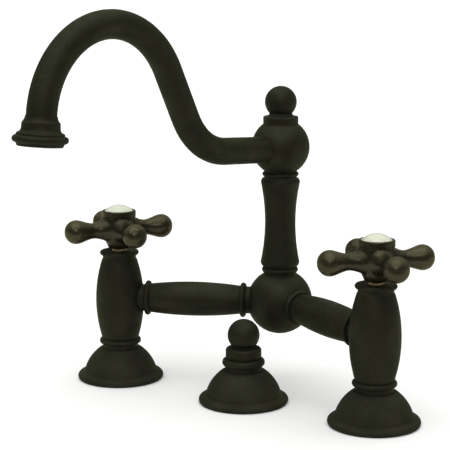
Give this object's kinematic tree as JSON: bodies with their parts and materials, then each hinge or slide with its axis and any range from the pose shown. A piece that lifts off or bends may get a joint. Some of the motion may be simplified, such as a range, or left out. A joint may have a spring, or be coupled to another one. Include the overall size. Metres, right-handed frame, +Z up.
{
  "type": "bridge bathroom faucet",
  "caption": "Deck-mounted bridge basin faucet with barrel columns, cross handles with porcelain buttons, a V-shaped bridge, a swivel gooseneck spout and a lift rod.",
  "frame": {"origin": "on the deck's top face, midway between the axes of the two valve columns", "axes": "+X from the left valve column to the right one, +Y to the back, towards the bridge hub, +Z up"},
  "size_m": [0.2704, 0.256, 0.4054],
  "materials": {
    "bronze": "oil-rubbed bronze over brass, matte",
    "handle_bronze": "oil-rubbed bronze over brass, satin",
    "plain_brass": "turned brass",
    "steel": "satin",
    "porcelain": "glossy glaze",
    "disc_ceramic": "lapped",
    "rubber": "matte",
    "plastic": "matte"
  },
  "bodies": {
    "faucet_body": {"hub_ball": "bronze", "left_arm_inner_collar": "bronze", "left_arm_outer_collar": "bronze", "left_bonnet_collar": "bronze", "left_bridge_arm": "bronze", "left_cartridge_housing": "plain_brass", "left_column_body": "bronze", "left_deck_flange": "bronze", "left_fixed_disc": "disc_ceramic", "left_flange_gasket": "rubber", "left_inlet_seal": "rubber", "left_shank": "plain_brass", "lift_rod_cap": "bronze", "lift_rod_flange": "bronze", "lift_rod_guide": "plain_brass", "lift_rod_nut": "plain_brass", "lift_rod_washer": "steel", "mounting_nuts": "plain_brass", "mounting_washers": "steel", "post_lower_ring": "bronze", "right_arm_inner_collar": "bronze", "right_arm_outer_collar": "bronze", "right_bonnet_collar": "bronze", "right_bridge_arm": "bronze", "right_cartridge_housing": "plain_brass", "right_column_body": "bronze", "right_deck_flange": "bronze", "right_fixed_disc": "disc_ceramic", "right_flange_gasket": "rubber", "right_inlet_seal": "rubber", "right_shank": "plain_brass", "spout_post": "bronze", "swivel_washer": "plastic"},
    "spout": {"spout_tube": "bronze", "outlet_shell": "bronze", "aerator_seal": "rubber", "aerator_insert": "plastic", "spout_hub": "bronze", "swivel_ring": "bronze", "swivel_nipple": "plain_brass", "swivel_orings": "rubber", "swivel_clip": "steel", "finial_collar": "bronze", "finial_ball": "bronze"},
    "left_handle": {"left_moving_disc": "disc_ceramic", "left_valve_stem": "plain_brass", "left_cross_handle": "handle_bronze", "left_handle_screw": "steel", "left_button_bezel": "handle_bronze", "left_porcelain_button": "porcelain"},
    "right_handle": {"right_moving_disc": "disc_ceramic", "right_valve_stem": "plain_brass", "right_cross_handle": "handle_bronze", "right_handle_screw": "steel", "right_button_bezel": "handle_bronze", "right_porcelain_button": "porcelain"},
    "lift_rod_and_knob": {"lift_rod": "bronze", "lift_rod_knob": "bronze"}
  },
  "joints": [
    {"name": "left_handle_turn", "type": "hinge", "parent": "faucet_body", "child": "left_handle", "pos_m": [-0.1016, 0, 0.1073], "axis": [0, 0, 1], "range_deg": [0, 90]},
    {"name": "right_handle_turn", "type": "hinge", "parent": "faucet_body", "child": "right_handle", "pos_m": [0.1016, 0, 0.1073], "axis": [0, 0, -1], "range_deg": [0, 90]},
    {"name": "spout_swivel", "type": "hinge", "parent": "faucet_body", "child": "spout", "pos_m": [0, 0.0508, 0.1672], "axis": [0, 0, 1], "continuous": true},
    {"name": "lift_rod_slide", "type": "slide", "parent": "faucet_body", "child": "lift_rod_and_knob", "axis": [0, 0, 1], "range_m": [0, 0.025]}
  ]
}
